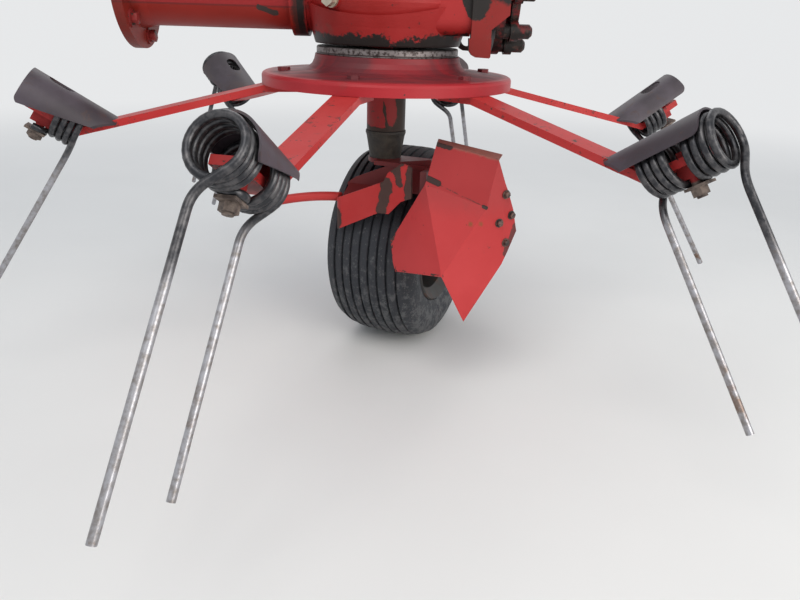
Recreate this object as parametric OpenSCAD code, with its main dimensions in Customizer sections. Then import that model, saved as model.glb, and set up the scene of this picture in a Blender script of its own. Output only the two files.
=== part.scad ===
// One rotor unit of a hay tedder: frame tube and gear housing, six-armed rotor with double
// coil tines, and the castoring wheel on its strut below.
// Millimetres, +Z up. The origin is the centre of the frame flange's outer face; +X runs along
// the frame tube towards the rotor, and the rotor turns about a vertical axis.

/* [Frame] */
// Distance from the frame flange to the rotor axis
axis_x = 450; // [420:5:560]
// Height of the frame tube's axis above the rim of the rotor disc
tube_h = 138; // [120:1:150]
// Outer diameter of the frame tube
tube_d = 138; // [130:1:140]
// Diameter of the round frame flange
flange_d = 216; // [208:1:224]
// Thickness of the frame flange
flange_t = 17; // [12:1:20]
// Bolt circle of the frame flange
flange_pcd = 177; // [172:1:182]
// Bolt holes in the frame flange
flange_holes = 6; // [4:1:8]

/* [Gear housing] */
// Largest radius of the housing's bowl
bowl_r = 152; // [148:1:156]
// Half width of the box neck that carries the hinge
neck_half = 117; // [112:1:118]
// Bore of the hinge ears for the next frame section
hinge_d = 24; // [20:1:26]

/* [Rotor] */
// Diameter of the rotor disc
disc_d = 452; // [420:2:480]
// Depth of the turned-down rim
rim_h = 20; // [18:1:30]
// Diameter of the bare seal ring
ring_d = 255; // [240:1:260]
// Bearing of the first arm as parked, from +X
arm_turn = 14; // [0:1:59]
// Width of the arm's flat bar
arm_w = 45; // [42:1:56]
// Thickness of the arm's flat bar
arm_t = 12; // [10:1:14]
// Fall of the arms from the rim outwards, in degrees
arm_fall = 13; // [8:0.5:15]

/* [Tines] */
// Radius at which the middle of each coil pair sits
coil_at_r = 578; // [560:1:600]
// Height of the middle of each coil pair, from the disc's rim
coil_at_z = -62; // [-70:1:-55]
// Upward tilt of the coil axis, in degrees
coil_tilt = 34; // [28:1:40]
// Mean radius of the coils
coil_r = 35; // [34:0.5:37]
// Wire diameter
wire_d = 11; // [9:0.5:11]
// Distance of each outermost turn from the middle of the pair
coil_reach = 56; // [52:1:60]
// Reach of the outer coil's last turn from the clamp bolt
coil_reach_out = 61; // [61:1:70]
// Distance of each innermost turn from the middle of the pair
loop_half = 12; // [11:0.5:14]
// The same at the outer coil
loop_half_out = 15; // [14:0.5:18]
// Straight leg of the outer tine
leg_outer = 355; // [300:1:380]
// Straight leg of the inner tine
leg_inner = 322; // [280:1:350]

/* [Wheel] */
// Overall diameter of the tyre
tyre_d = 400; // [380:1:410]
// Width of the tyre
tyre_w = 188; // [165:1:200]
// Trail of the axle behind the strut
trail = 107; // [95:1:120]
// Steering angle as parked, in degrees
steer = -24; // [-30:1:30]
// Drop of the axle below the disc's rim
axle_drop = 350; // [345:1:360]

/* [Hidden] */
$fn = 96;

red = "firebrick";
steel = "slategray";
rust = "saddlebrown";
dark = "dimgray";

shaft_d = 35;
shaft_end_d = 30;
stem_d = 40;
strut_d = 72;
axle_d = 25;
run = 0.05;
bolt_r = 7;
plug_turn = -127.5;
plug_z = 121;

// The six arms: steps of 60 degrees, whether the outer coil is still there, and how far each is bent aside
STEP = 0;
OUTER = 1;
BENT = 2;
ARMS = [[4, true, 0], [5, true, 0], [0, false, 0], [1, true, 0], [2, true, -2], [3, false, 0]];

// Heights of the housing above the disc rim
ring_z = 32;
bowl_z = 50;
top_z = 182;
// Joint between the tube's end and the housing, and the face of the hinge end, from the rotor axis
joint_x = -153;
joint_r = 79;
face_x = 137;

// ---- frames of reference
module at_rotor() { translate([axis_x, 0, -tube_h]) children(); }
module on_arm(i) {
    at_rotor() rotate([0, 0, arm_turn + 60 * ARMS[i - 1][STEP] + ARMS[i - 1][BENT]]) children();
}
// local X along the coil axis, local Y along the turning direction, local Z away from the legs
module on_coil(i) {
    on_arm(i) translate([coil_at_r, 0, coil_at_z]) rotate([0, -coil_tilt, 0]) children();
}
module at_wheel() { at_rotor() rotate([0, 0, steer]) children(); }
module at_axle() { at_wheel() translate([0, trail, -axle_drop]) children(); }
module along_x() { rotate([0, 90, 0]) children(); }

module ring(r1, r0, h) {
    difference() {
        cylinder(r = r1, h = h);
        translate([0, 0, -1]) cylinder(r = r0, h = h + 2);
    }
}
module hex_bolt(across, h) { cylinder(d = across / cos(30), h = h, $fn = 6); }

// ---- frame
module frame_tube() {
    end = axis_x + joint_x;
    color(red) difference() {
        union() {
            along_x() cylinder(d = flange_d, h = flange_t);
            along_x() translate([0, 0, flange_t]) cylinder(r1 = tube_d / 2 + 5, r2 = tube_d / 2, h = 26);
            along_x() cylinder(d = tube_d, h = end);
            along_x() translate([0, 0, end - 13]) cylinder(r = joint_r, h = 13);
        }
        along_x() translate([0, 0, -1]) cylinder(d = tube_d - 14, h = end + 2);
        for (k = [0 : flange_holes - 1])
            rotate([10 + k * 360 / flange_holes, 0, 0]) translate([-1, 0, flange_pcd / 2])
                along_x() cylinder(r = 8.5, h = flange_t + 2);
    }
}

// Cross-section of the box neck, with rounded corners: X is the width, Y the height
module neck_section() {
    low = 25;
    high = 16;
    bottom = -tube_d / 2;
    top = top_z - tube_h;
    translate([-neck_half + low, bottom]) square([2 * (neck_half - low), top - bottom]);
    translate([-neck_half, bottom + low]) square([2 * neck_half, top - high - bottom - low]);
    translate([-neck_half + high, 0]) square([2 * (neck_half - high), top]);
    for (s = [-1, 1]) {
        translate([s * (neck_half - low), bottom + low]) circle(r = low);
        translate([s * (neck_half - high), top - high]) circle(r = high);
    }
}

module gear_housing() {
    color(red) difference() {
        union() {
            at_rotor() {
                // drum and dome
                rotate_extrude() polygon([[0, bowl_z], [122, bowl_z], [131, 79], [138, 98], [143, 111],
                    [bowl_r - 7, 118], [bowl_r - 8, 150], [bowl_r - 13, 163], [126, 174], [104, 181],
                    [96, top_z], [0, top_z]]);
                // bowl over the seal ring, whose upper edge hangs in a curve between the two necks
                difference() {
                    rotate_extrude() polygon([[110, bowl_z], [bowl_r - 23, bowl_z], [bowl_r - 22, bowl_z + 2],
                        [bowl_r - 14, 79], [bowl_r - 2, 111], [bowl_r, 118], [bowl_r, 128], [110, 128]]);
                    translate([0, 0, 529]) rotate([0, 90, 259]) cylinder(r = 431, h = 400, center = true);
                }
                // spot face of the filler plug
                rotate([0, 0, plug_turn]) translate([130, 0, plug_z]) along_x() cylinder(r = 15, h = 17);
            }
            translate([axis_x + joint_x, 0, 0]) along_x() cylinder(r = joint_r, h = 14);
            translate([axis_x + joint_x + 12, 0, 0]) along_x() cylinder(r1 = 72, r2 = 64, h = 52);
            translate([axis_x + 70, 0, 0]) rotate([90, 0, 90]) linear_extrude(face_x - 69) neck_section();
        }
        // the bowl ends where the hinge plate begins
        translate([axis_x + face_x, -bowl_r, -bowl_r]) cube([bowl_r, 2 * bowl_r, 2 * bowl_r]);
        translate([axis_x - 200, 0, 0]) along_x() cylinder(d = shaft_d + 2 * run, h = 400);
    }
}

module housing_cap() {
    color(red) at_rotor() translate([0, 0, top_z]) {
        cylinder(r = 84, h = 8);
        translate([0, 0, 7]) cylinder(r1 = 60, r2 = 52, h = 9);
        for (k = [0 : 7]) rotate([0, 0, 45 * k]) translate([73, 0, 7]) hex_bolt(13, 7);
    }
}

module oil_plug() {
    color("silver") at_rotor() rotate([0, 0, plug_turn]) translate([147, 0, plug_z])
        along_x() { cylinder(d = 28, h = 4); translate([0, 0, 3]) hex_bolt(22, 11); }
}

// Flange plate on the hinge end, and two ears whose lugs carry the pin of the next section
module hinge_ears() {
    ear_in = 106;
    ear_t = 18;
    lug_x = 154;
    lug_z = -80;
    color(red) translate([axis_x, 0, 0]) difference() {
        union() {
            translate([face_x, -ear_in - ear_t, -62]) cube([12, 2 * (ear_in + ear_t), 124]);
            for (s = [-1, 1]) translate([0, s * (ear_in + ear_t / 2) + ear_t / 2, 0]) rotate([90, 0, 0])
                linear_extrude(ear_t) {
                    translate([face_x, lug_z]) square([33, 62 - lug_z]);
                    polygon([[169, -58], [198, -34], [198, 44], [169, 62]]);
                    polygon([[face_x - 3, -71], [face_x - 2, -90], [face_x + 3, -97], [face_x + 9, -100],
                        [face_x + 32, -101], [face_x + 34, -99], [face_x + 34, -71]]);
                }
        }
        translate([face_x - 1, 0, 0]) along_x() cylinder(r = 52, h = 30);
        // the pin's bore is blind in the near ear
        translate([lug_x, ear_in + ear_t + 1, lug_z]) rotate([90, 0, 0])
            cylinder(d = hinge_d + 2 * run, h = 2 * (ear_in + ear_t) - 4);
    }
}

module strut() {
    color(red) at_rotor() difference() {
        translate([0, 0, -101]) cylinder(d = strut_d, h = 101 + bowl_z);
        translate([0, 0, -102]) cylinder(d = stem_d + 2 * run, h = 62);
    }
}

// ---- drive
module drive_shaft() {
    color(steel) {
        translate([20, 0, 0]) along_x() cylinder(d = shaft_end_d, h = 71);
        translate([90, 0, 0]) along_x() cylinder(d = shaft_d, h = axis_x + 142 - 90);
    }
}

// Hub, round disc and lobed disc; the eight fingers run through both and mesh with the next section's
module finger_coupling() {
    fingers = 8;
    finger_at = 84;
    color(steel) translate([axis_x + 142, 0, 0]) {
        along_x() cylinder(r = 46, h = 43);
        translate([41, 0, 0]) along_x() cylinder(r = 100, h = 14);
        translate([54, 0, 0]) along_x() cylinder(r = 58, h = 15);
        translate([67, 0, 0]) rotate([90, 0, 90]) linear_extrude(14) {
            circle(r = 74);
            for (k = [0 : fingers - 1]) rotate(k * 360 / fingers) translate([0, finger_at]) circle(r = 16);
        }
        for (k = [0 : fingers - 1])
            rotate([k * 360 / fingers, 0, 0]) translate([54, 0, finger_at]) along_x() {
                cylinder(r = 12, h = 46);
                translate([0, 0, 46]) cylinder(r1 = 12, r2 = 7, h = 5);
            }
    }
}

// ---- rotor
module rotor_disc() {
    r = disc_d / 2;
    color(red) at_rotor() {
        rotate_extrude() polygon([
            [strut_d / 2 + run, -35], [50, -35], [50, 24], [112, 24], [118, 18], [122, -4],
            [r - 8, -4], [r - 4, -8], [r - 4, -rim_h], [r, -rim_h], [r, -5], [r - 1.5, -1.5], [r - 5, 0.5],
            [152, 6], [143, 9], [136, 15], [132, 23], [130, ring_z], [strut_d / 2 + run, ring_z]]);
        for (k = [0 : 5]) rotate([0, 0, arm_turn + 60 * k]) {
            translate([150, -22, -rim_h]) cube([60, 44, rim_h - 3]);
            translate([187, 0, 1]) hex_bolt(19, 8);
        }
    }
}

module seal_ring() {
    color("gray") at_rotor() translate([0, 0, ring_z]) rotate_extrude() polygon([
        [70, 0], [ring_d / 2 - 1, 0], [ring_d / 2, 1], [ring_d / 2, 11.5], [ring_d / 2 - 1.5, 13], [70, 13]]);
}

// Side view of the arm: flat seat, falling bar, upturned end inside the coils
sa = sin(coil_tilt);
ca = cos(coil_tilt);
ta = tan(arm_fall);
arm_r0 = 150;
arm_r1 = 222;
arm_z1 = -rim_h - arm_t / 2;
// the bar's centre line in the coils lies one half of its thickness below the coil axis
seat_r = coil_at_r + arm_t / 2 * sa;
seat_z = coil_at_z - arm_t / 2 * ca;
bend_r = (arm_z1 + arm_r1 * ta - seat_z + seat_r * tan(coil_tilt)) / (ta + tan(coil_tilt));
bend_z = arm_z1 - (bend_r - arm_r1) * ta;
arm_end = 30;
arm_tip_r = seat_r + arm_end * ca;
arm_tip_z = seat_z + arm_end * sa;
ARM_LINE = [[arm_r0, arm_z1], [arm_r1, arm_z1], [bend_r, bend_z], [arm_tip_r, arm_tip_z]];

function unit(v) = v / norm(v);
function left(v) = [-v[1], v[0]];
// mitred offset of an open line by d
function offset_line(p, d) = [for (i = [0 : len(p) - 1])
    let (a = unit(i == 0 ? p[1] - p[0] : p[i] - p[i - 1]),
         b = unit(i == len(p) - 1 ? p[i] - p[i - 1] : p[i + 1] - p[i]),
         m = unit(left(a) + left(b)))
    p[i] + m * d / (m * left(a))];
function rev(p) = [for (i = [len(p) - 1 : -1 : 0]) p[i]];
function band(p, d) = concat(offset_line(p, d / 2), rev(offset_line(p, -d / 2)));

module arm(i) {
    narrow_r = bend_r - 26;
    color(red) on_arm(i) difference() {
        rotate([90, 0, 0]) translate([0, 0, -arm_w / 2]) linear_extrude(arm_w) polygon(band(ARM_LINE, arm_t));
        for (s = [-1, 1]) translate([0, s * (arm_w / 2 + 15), 0]) linear_extrude(400, center = true)
            polygon([[narrow_r - 14, -s * 15], [narrow_r, -s * 17.5], [arm_tip_r + 20, -s * 17.5],
                [arm_tip_r + 20, s * 10], [narrow_r - 14, s * 10]]);
        translate([coil_at_r, 0, coil_at_z]) rotate([0, -coil_tilt, 0]) translate([0, 0, -20])
            cylinder(r = bolt_r + 0.3, h = 40);
    }
}

// ---- double coil tine, drawn in the coil's frame: X along the axis, Y turning direction, -Z the legs
leave = 50;
lead = 44;
blend = 20;
turns_deg = 320 + 360 * 3;
turn_steps = 54;
wire_sides = 8;
loop_len = 4;
splay = 2;
// the outer leg leans out past its coil, the inner one stands a little proud
lean = 6;
proud = 3;

function reach(side) = side > 0 ? coil_reach_out : coil_reach;
function start(side) = side > 0 ? loop_half_out : loop_half;
function ring_pt(x, a) = [x, coil_r * cos(a), -coil_r * sin(a)];
// point at t of the curve that rounds the corner b between a and c
function round_pt(a, b, c, t) = (1 - t) * (1 - t) * a + 2 * t * (1 - t) * b + t * t * c;
// points of one coil from its leg's tip to its inner turn; side is +1 for the outer coil
function coil_path(side, leg) = let (
        p0 = ring_pt(side * reach(side), leave),
        dir = [0, -sin(leave), -cos(leave)],
        kink = p0 + dir * lead + (side > 0 ? [coil_reach + lean - coil_reach_out, 0, 0] : [0, proud, 0]),
        up = unit(p0 - kink),
        down = unit([side > 0 ? lean / 800 : 0, -sin(splay), -cos(splay)]))
    concat([kink + down * leg],
        [for (t = [0 : 0.25 : 1]) round_pt(kink + down * blend, kink, kink + up * blend, t)],
        [for (k = [0 : turn_steps])
            ring_pt(side * (reach(side) + (start(side) - reach(side)) * k / turn_steps),
                leave - turns_deg * k / turn_steps)]);
// half of the middle loop, from the inner turn to the middle of its bend
function half_loop(side) = [
    [side * start(side), loop_len * 0.5, -coil_r], [side * start(side), loop_len, -coil_r],
    [side * start(side) * 0.72, loop_len + 9, -coil_r], [side * start(side) * 0.15, loop_len + 12, -coil_r]];
// direction at point i: the mean of its two edges' directions
function path_dir(p, i) = unit(unit(i == 0 ? p[1] - p[0] : p[i] - p[i - 1])
    + unit(i == len(p) - 1 ? p[i] - p[i - 1] : p[i + 1] - p[i]));
function side_dir(d, seed) = unit(cross(d, cross(seed, d)));
// carry the side direction along the path so that the tube never twists
function carry(p, i, s) = i == len(p) ? [] : let (d = path_dir(p, i), n = side_dir(d, s))
    concat([[d, n]], carry(p, i + 1, n));

module wire(p) {
    fr = carry(p, 0, [1, 0, 0.01]);
    n = len(p);
    m = wire_sides;
    pts = [for (i = [0 : n - 1]) for (k = [0 : m - 1])
        p[i] + wire_d / 2 * (cos(360 * k / m) * fr[i][1] + sin(360 * k / m) * cross(fr[i][0], fr[i][1]))];
    sides = [for (i = [0 : n - 2]) for (k = [0 : m - 1]) let (j = (k + 1) % m)
        [i * m + k, (i + 1) * m + k, (i + 1) * m + j, i * m + j]];
    ends = [[for (k = [0 : m - 1]) k], [for (k = [m - 1 : -1 : 0]) (n - 1) * m + k]];
    polyhedron(points = pts, faces = concat(sides, ends), convexity = 10);
}

module tine(i) {
    color(dark) on_coil(i)
        if (ARMS[i - 1][OUTER])
            wire(concat(coil_path(1, leg_outer), half_loop(1),
                rev(half_loop(-1)), rev(coil_path(-1, leg_inner))));
        else
            wire(concat([[8, loop_len + 12.5, -coil_r]],
                rev(half_loop(-1)), rev(coil_path(-1, leg_inner))));
}

module clamp(i) {
    inner = coil_r - wire_d / 2;
    outer = coil_r + wire_d / 2;
    color(rust) on_coil(i) {
        translate([-17, -7, -inner]) cube([34, 14, inner - arm_t]);
        translate([-15, -12, -outer - 4]) cube([33, 27, 4]);
        translate([0, 0, -outer - 18]) cylinder(r = bolt_r, h = outer + 19);
        translate([0, 0, -outer - 15]) hex_bolt(21, 11);
        hex_bolt(22, 8);
    }
}

// Half shell over the coils. Its inner end is drawn to a point on the arm, its far edge is deeper outwards.
cover_r = 47;
cover_t = 3;
cover_x0 = -114;
cover_x1 = 46;
module round_corner(r) {
    difference() {
        square(r + 1);
        translate([0, r + 1]) circle(r = r);
    }
}

module cover(i) {
    near_z = cover_r * cos(70);
    far_z = -10;
    bar = arm_w / 2 + 0.3;
    color("rosybrown") difference() {
        on_coil(i) difference() {
            translate([cover_x0, 0, 0]) along_x() ring(cover_r, cover_r - cover_t, cover_x1 - cover_x0);
            rotate([90, 0, 0]) linear_extrude(60) {
                translate([cover_x0 - 1, -60]) square([cover_x1 - cover_x0 + 2, 60 + near_z]);
                translate([cover_x1 - 12, near_z - 1]) round_corner(12);
            }
            rotate([90, 0, 0]) translate([0, 0, -60]) linear_extrude(60) {
                polygon([[cover_x0 - 1, -60], [cover_x1 + 1, -60], [cover_x1 + 1, far_z],
                    [-68, near_z], [cover_x0 - 1, near_z]]);
                translate([cover_x1 - 12, far_z - 1]) round_corner(12);
            }
            translate([0, 0, -60]) linear_extrude(120) for (s = [-1, 1]) polygon(concat(
                [for (k = [0 : 9]) [-112 + 49 * pow(k * 6 / cover_r, 2), s * k * 6]],
                [[cover_x0 - 1, s * 54], [cover_x0 - 1, 0]]));
            translate([0, 0, 20]) linear_extrude(40) {
                for (s = [-1, 1]) translate([s * 9, 0]) circle(r = 12);
                square([18, 24], center = true);
            }
        }
        // it stands on the arm's upper face
        on_arm(i) rotate([90, 0, 0]) translate([0, 0, -bar]) linear_extrude(2 * bar) let (
            face = arm_z1 + arm_t / 2 / cos(arm_fall) + 0.02)
            polygon([[300, face - (300 - arm_r1) * ta], [bend_r, face - (bend_r - arm_r1) * ta],
                [bend_r, -400], [300, -400]]);
    }
}

// ---- wheel carrier
module swivel_stem() {
    color("darkslategray") at_rotor() {
        translate([0, 0, -103]) cylinder(d = stem_d, h = 58);
        rotate_extrude() polygon([[0, -102], [37.5, -102], [38, -106], [36, -112],
            [30, -148], [30, -152], [0, -152]]);
    }
}

// Crown: a trough of bent plate over the front of the tyre, open above, under the stem's seat plate
crown_y0 = -101;
crown_y1 = -46;
crown_x0 = -57;
crown_t = 6;
crown_bend = 17;
module plate_y(y, t) { translate([0, y + t, 0]) rotate([90, 0, 0]) linear_extrude(t) children(); }
module plate_x(x, t) { translate([x, 0, 0]) rotate([90, 0, 90]) linear_extrude(t) children(); }
module wheel_crown() {
    color(red) at_wheel() {
        // front plate with its rounded left end, in plan and then cut to its outline
        intersection() {
            translate([0, 0, -300]) linear_extrude(170) {
                translate([crown_x0 + crown_bend, crown_y0]) square([140, crown_t]);
                translate([crown_x0, crown_y0 + crown_bend])
                    square([crown_t, crown_y1 + 1 - crown_y0 - crown_bend]);
                intersection() {
                    translate([crown_x0 + crown_bend, crown_y0 + crown_bend]) difference() {
                        circle(r = crown_bend);
                        circle(r = crown_bend - crown_t);
                    }
                    translate([crown_x0 - 1, crown_y0 - 1]) square(crown_bend + 1);
                }
            }
            plate_y(crown_y0 - 1, 60) polygon([[-58, -221.4], [43, -177], [52, -160], [78, -141], [96, -147],
                [98, -201], [77, -210], [54, -235], [33, -236], [-58, -282.5]]);
            plate_x(-60, 170) polygon([[crown_y0 - 1, -300], [crown_y0 - 1, -130], [-90, -130], [-88, -214],
                [crown_y1 + 1, -200], [crown_y1 + 1, -206]]);
        }
        plate_y(crown_y0, crown_t) polygon([[-20, -205], [43, -177], [52, -160], [78, -141],
            [96, -147], [98, -201], [77, -210], [54, -235], [33, -236], [-20, -263]]);
        plate_y(crown_y1, crown_t) polygon([[crown_x0, -200], [-40, -188], [20, -162], [60, -148],
            [112, -140], [112, -206], [crown_x0, -206]]);
        plate_x(-52, 96) polygon([[crown_y0 + 5, -236], [crown_y0 + 5, -230],
            [crown_y1 + 1, -200], [crown_y1 + 1, -206]]);
        translate([0, 0, -160]) linear_extrude(8) {
            circle(r = 32);
            translate([0, -50]) square([112, 72]);
        }
    }
}

module axle_leg() {
    color(red) at_wheel() translate([112, 0, 0]) rotate([90, 0, 90]) difference() {
        linear_extrude(12) polygon(concat([[-98, -240], [-98, -152], [22, -152], [30, -190]],
            [for (a = [32 : -10 : -118]) [trail + 38 * cos(a), -axle_drop + 38 * sin(a)]]));
        translate([trail, -axle_drop, -1]) cylinder(d = axle_d + 0.1, h = 14);
    }
}

module stub_axle() {
    color(steel) at_axle() translate([-78, 0, 0]) along_x() {
        cylinder(d = axle_d, h = 214);
        translate([0, 0, -8]) cylinder(d = 38, h = 8);
        translate([0, 0, 202]) hex_bolt(36, 16);
    }
}

// Folded sheet in front of the tyre's right half. Its lower right facet, the wing, stands upright
// and is turned back by wing_turn.
wing_turn = 30;
wing_d = 268.5;
function wing(y, z) = [(wing_d + y * sin(wing_turn)) / cos(wing_turn), y, z];
SHEET_LIP = [[132.5, -70, -97], [249, -71.5, -112]];
SHEET_TOP = [[139, -94, -100], [250, -95.5, -117]];
SHEET_MID = [[125, -105, -170.5], [239, -108, -197]];
SHEET_LEFT = [[64, -108, -282], [75, -121, -318], [83, -128, -331]];
SHEET_RIDGE = [186, -167, -311];
SHEET_TIP = [219, -130, -402.5];
SHEET_WING = [wing(-84, -157), wing(-77, -171), wing(-63, -205),
    wing(-52, -246), wing(-66.5, -280), wing(-77, -302)];
module deflector() {
    t = [-1.5, 4.5, -2.5];
    p = concat(SHEET_LIP, SHEET_TOP, SHEET_MID, SHEET_LEFT, [SHEET_RIDGE, SHEET_TIP], SHEET_WING);
    n = len(p);
    // facets by point: lip 0-1, top 2-3, middle 4-5, left edge 6-8, ridge 9, tip 10, wing 11-16
    f = [[0, 1, 3], [0, 3, 2], [2, 3, 5], [2, 5, 4], [4, 5, 9], [4, 9, 8], [4, 8, 7], [4, 7, 6],
         [3, 11, 5], [11, 16, 5], [5, 16, 9], [16, 10, 9],
         [11, 12, 13], [11, 13, 16], [13, 14, 16], [14, 15, 16]];
    edge = [0, 1, 3, 11, 12, 13, 14, 15, 16, 10, 9, 8, 7, 6, 4, 2];
    color(red) at_wheel() polyhedron(
        points = concat(p, [for (q = p) q + t]),
        faces = concat(f, [for (q = f) [q[0] + n, q[2] + n, q[1] + n]],
            [for (i = [0 : len(edge) - 1])
                let (a = edge[i], b = edge[(i + 1) % len(edge)]) [b, a, a + n, b + n]]),
        convexity = 6);
}

// Strap from the leg, and the pad behind the wing that the sheet's bolts go through
module deflector_bracket() {
    back = wing_d - 3.7;
    color(red) at_wheel() {
        translate([0, 0, -254]) linear_extrude(44)
            polygon([[124, -72], [259, -72], [263.6, -64], [124, -64]]);
        rotate([0, 0, -wing_turn]) plate_x(back - 6, 6)
            polygon([[69, -269], [69, -205], [79, -205], [84, -220], [89, -240], [86, -258], [80, -269]]);
    }
}

module guard_rod() {
    arc_r = 450;
    color(red) at_wheel() difference() {
        translate([crown_x0 + 4, -74, -222]) rotate([0, 0, 24]) rotate([0, 2.5, 0])
            translate([0, 0, -arc_r]) rotate([90, -90, 0])
                rotate_extrude(angle = 19.5) translate([arc_r, 0]) circle(r = 8.5);
        translate([crown_x0, -120, -260]) cube([60, 90, 80]);
    }
}

// ---- wheel
module tyre() {
    r = tyre_d / 2;
    w = tyre_w / 2;
    color("dimgray") at_axle() along_x() rotate_extrude() polygon([
        [104, -66], [118, -84], [140, -w + 2], [156, -w], [170, -w + 3], [184, -w + 12], [192, -w + 22],
        [197, -w + 38], [r, 0], [197, w - 38], [192, w - 22], [184, w - 12], [170, w - 3], [156, w],
        [140, w - 2], [118, 84], [104, 66]]);
}

module rim() {
    color("lightgray") at_axle() along_x() difference() {
        union() {
            rotate_extrude() polygon([[92, -64], [103.7, -65.7], [103.7, 65.7], [92, 64]]);
            for (s = [-1, 1]) rotate_extrude()
                polygon([[92, s * 60], [103.7, s * 66], [116, s * 83.5], [113, s * 87], [92, s * 70]]);
            translate([0, 0, 8]) cylinder(r = 93, h = 6);
            translate([0, 0, -62]) cylinder(r = 30, h = 150);
        }
        translate([0, 0, -80]) cylinder(d = axle_d + 2 * run, h = 200);
        for (k = [0 : 3]) rotate([0, 0, 90 * k + 45]) translate([62, 0, 0]) cylinder(r = 9, h = 40);
    }
}

frame_tube();
gear_housing();
housing_cap();
oil_plug();
hinge_ears();
strut();
drive_shaft();
finger_coupling();
rotor_disc();
seal_ring();
for (i = [1 : 6]) {
    arm(i);
    tine(i);
    clamp(i);
    cover(i);
}
swivel_stem();
wheel_crown();
axle_leg();
stub_axle();
deflector_bracket();
deflector();
guard_rod();
tyre();
rim();
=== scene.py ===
import math

import bpy
from mathutils import Matrix, Vector


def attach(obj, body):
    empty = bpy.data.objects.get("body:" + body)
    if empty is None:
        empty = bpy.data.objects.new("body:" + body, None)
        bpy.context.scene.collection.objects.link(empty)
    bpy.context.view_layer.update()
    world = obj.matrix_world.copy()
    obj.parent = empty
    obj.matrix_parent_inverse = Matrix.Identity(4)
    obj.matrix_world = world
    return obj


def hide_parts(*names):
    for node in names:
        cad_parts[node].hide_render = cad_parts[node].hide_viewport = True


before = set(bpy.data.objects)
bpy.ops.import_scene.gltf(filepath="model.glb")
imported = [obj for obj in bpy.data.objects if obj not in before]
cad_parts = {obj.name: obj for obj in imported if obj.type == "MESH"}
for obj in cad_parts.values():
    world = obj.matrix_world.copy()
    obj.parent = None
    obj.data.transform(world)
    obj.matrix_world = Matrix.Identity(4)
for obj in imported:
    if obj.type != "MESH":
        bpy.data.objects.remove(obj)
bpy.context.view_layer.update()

bl_info = {
    "name": "Tedder Rotor Dressing",
    "version": (1, 0, 0),
    "blender": (4, 5, 0),
    "location": "View3D > Sidebar > Tedder",
    "description": "Dresses a hay tedder's rotor unit: paint, tines, tyre, fasteners and the studio round it",
    "category": "Object",
}

# Where the pieces sit, in metres and degrees, as in the part's own sizes
AXIS = Vector((0.450, 0.0, -0.138))
ARM_TURN = 14.0
COIL_AT = (0.578, -0.062)
COIL_TILT = 34.0
STEER = -24.0
TRAIL = 0.107
AXLE_DROP = 0.350
FLANGE_FACE = 0.017
FLANGE_CIRCLE = 0.0885
WHEEL_FACE = 0.014
NUT_CIRCLE = 0.046
# arm number: steps of 60 degrees, outer coil present, degrees the arm is bent aside
ARMS = {1: (4, True, 0), 2: (5, True, 0), 3: (0, False, 0),
        4: (1, True, 0), 5: (2, True, -2), 6: (3, False, 0)}

# The spring tines: side 1 is the coil at the arm's end, side -1 the inner one. Along the wire come the
# leg, its bend, the lead to the coil, the coil's turns, and half of the loop in the middle
LEG = {-1: 0.322, 1: 0.355}
SPLAY = 2.0
BEND = 0.020
LEAD = 0.044
COIL_REACH = {-1: 0.056, 1: 0.061}
COIL_ANGLE = 320.0 + 3 * 360.0
LEAVE_ANGLE = 50.0
LOOP_HALF = {-1: 0.012, 1: 0.015}
LOOP_START = 0.004
LOOP_RISE = 0.012

# The tyre across: its highest radius, half of its width, how its crown falls away, and its ribs' edges
TYRE_TOP = 0.200
TYRE_HALF = 0.094
CROWN_HALF = 0.082
CROWN_FALL = 0.0135
CROWN_POWER = 3.2
TREAD_HALF = 0.084
RIB_ROUND = 0.0008
RIB_SHOULDER = 0.0012

# The camera: its place from the rotor's centre, its angles, and the lens from the photograph's width
CAMERA_AT = Vector((0.0112, -1.3326, 0.1025))
CAMERA_YAW = 1.116
CAMERA_PITCH = 22.52
CAMERA_ROLL = 1.83
FOCAL_PIXELS = 692.4
PHOTO_WIDTH = 800
SENSOR = 36.0
BACKDROP = (0.80, 0.81, 0.82)
# lamp: place, size, power, colour
LAMPS = {"key_lamp": ((-0.2, -1.9, 2.3), 2.0, 40.0, (1.0, 0.97, 0.93)),
         "side_lamp": ((2.6, -2.3, 0.7), 2.2, 60.0, (1.0, 0.96, 0.90)),
         "back_lamp": ((0.3, 2.4, 2.2), 2.2, 22.0, (1.0, 1.0, 1.0))}

# Marks and bolts on the folded sheet and stains on the crown, in the wheel carrier's frame. A smudge and
# a stain have a width, and a bolt says whether it sits on the sheet's outer wing
# the slot and the notch are painted dark as the shade inside them
SHEET_SLOT = ((0.124, -0.1035, -0.159), (0.149, -0.1042, -0.1668))
SHEET_CRACK = ((0.152, -0.1046, -0.1695), (0.232, -0.1077, -0.1945))
SHEET_NOTCH = ((0.2335, -0.1078, -0.1958), (0.2385, -0.108, -0.1972))
SHEET_SMUDGES = (((0.2175, -0.1229, -0.2244), 0.006), ((0.2332, -0.1145, -0.2243), 0.006))
SHEET_LIP = ((0.132, -0.080, -0.0985), (0.2495, -0.082, -0.1145))
SHEET_EDGES = (((0.090, -0.1065, -0.234), (0.064, -0.108, -0.282)),
               ((0.064, -0.108, -0.282), (0.083, -0.128, -0.331)),
               ((0.083, -0.128, -0.331), (0.186, -0.167, -0.311)))
SHEET_BOLTS = (((0.2633, -0.081, -0.1765), True), ((0.2716, -0.0665, -0.2149), True),
               ((0.2674, -0.0739, -0.2631), True), ((0.2572, -0.0875, -0.2259), False))
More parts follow.
